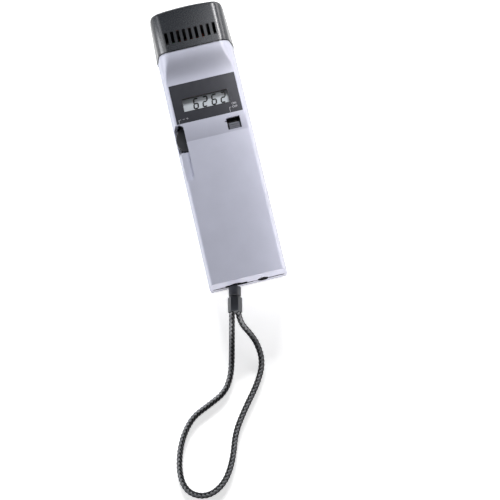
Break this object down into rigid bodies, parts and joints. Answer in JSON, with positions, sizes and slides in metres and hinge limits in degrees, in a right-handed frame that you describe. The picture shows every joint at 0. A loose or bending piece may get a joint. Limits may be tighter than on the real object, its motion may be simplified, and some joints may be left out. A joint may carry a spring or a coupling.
{
  "type": "handheld stroboscope",
  "caption": "Handheld stroboscope with hooded flash lamp, digital display, side tuning wheel, slide switch, rear battery door and wrist cord on a swivel.",
  "frame": {"origin": "centre of the case's box at the plane of its rear face, on which it lies; the strap fittings and cord are left out of that box", "axes": "+X to the right seen from the display side, +Y from the strap end to the lamp head, +Z out of the display side"},
  "size_m": [0.1187, 0.3852, 0.0406],
  "materials": {
    "case": "satin moulded, silver grey with a cool tint",
    "hood": "satin black moulding",
    "window": "clear flat window",
    "dish": "polished aluminium",
    "tube_glass": "clear lamp glass",
    "tube_metal": "plated end caps",
    "inner_plastic": "plain black moulding",
    "label": "printed dark grey panel",
    "display": "grey liquid crystal display",
    "board": "green printed circuit",
    "chips": "moulded chip packages",
    "copper_winding": "varnished copper wire",
    "capacitor": "sleeved can",
    "ferrite": "ferrite core and bobbin",
    "plated_steel": "bright plated",
    "shutter": "black dust shutter",
    "knob": "satin grey",
    "wheel": "satin black with rim notches",
    "brass": "turned",
    "socket": "black socket body",
    "cell": "sleeved round cell",
    "strap_fitting": "black moulded fitting",
    "cord": "braided black cord"
  },
  "bodies": {
    "case": {"battery_cell_1": "cell", "battery_cell_2": "cell", "battery_cell_3": "cell", "battery_cell_4": "cell", "board_screws": "plated_steel", "case_screws": "plated_steel", "charge_jack": "socket", "contact_plates": "plated_steel", "contact_springs": "plated_steel", "display_frame": "inner_plastic", "display_glass": "display", "flash_capacitor": "capacitor", "flash_tube": "tube_glass", "front_shell": "case", "inverter_transformer": "ferrite", "label_panel": "label", "lamp_frame": "inner_plastic", "lamp_hood": "hood", "lens_window": "window", "logic_chips": "chips", "main_board": "board", "potentiometer": "inner_plastic", "rear_shell": "case", "reflector": "dish", "strap_pin": "plated_steel", "switch_body": "plated_steel", "trigger_coil": "copper_winding", "tripod_bush": "brass", "tube_ends": "tube_metal"},
    "power_knob": {"switch_knob": "knob", "switch_shutter": "shutter"},
    "tuner": {"tune_wheel": "wheel", "wheel_shaft": "brass"},
    "door": {"battery_door": "case"},
    "strap": {"strap_swivel": "strap_fitting", "strap_ferrule": "strap_fitting", "wrist_cord": "cord"}
  },
  "joints": [
    {"name": "switch_slide", "type": "slide", "parent": "case", "child": "power_knob", "axis": [0, 1, 0], "range_m": [0, 0.0038]},
    {"name": "tune_turn", "type": "hinge", "parent": "case", "child": "tuner", "pos_m": [-0.0194, 0.0074, 0.0274], "axis": [0, 0, 1], "range_deg": [-135, 135]},
    {"name": "door_slide", "type": "slide", "parent": "case", "child": "door", "axis": [0, -1, 0], "range_m": [0, 0.012]},
    {"name": "strap_swing", "type": "hinge", "parent": "case", "child": "strap", "pos_m": [-0.0098, -0.1088, 0.019], "axis": [0, 0, 1], "range_deg": [0, 24]}
  ]
}
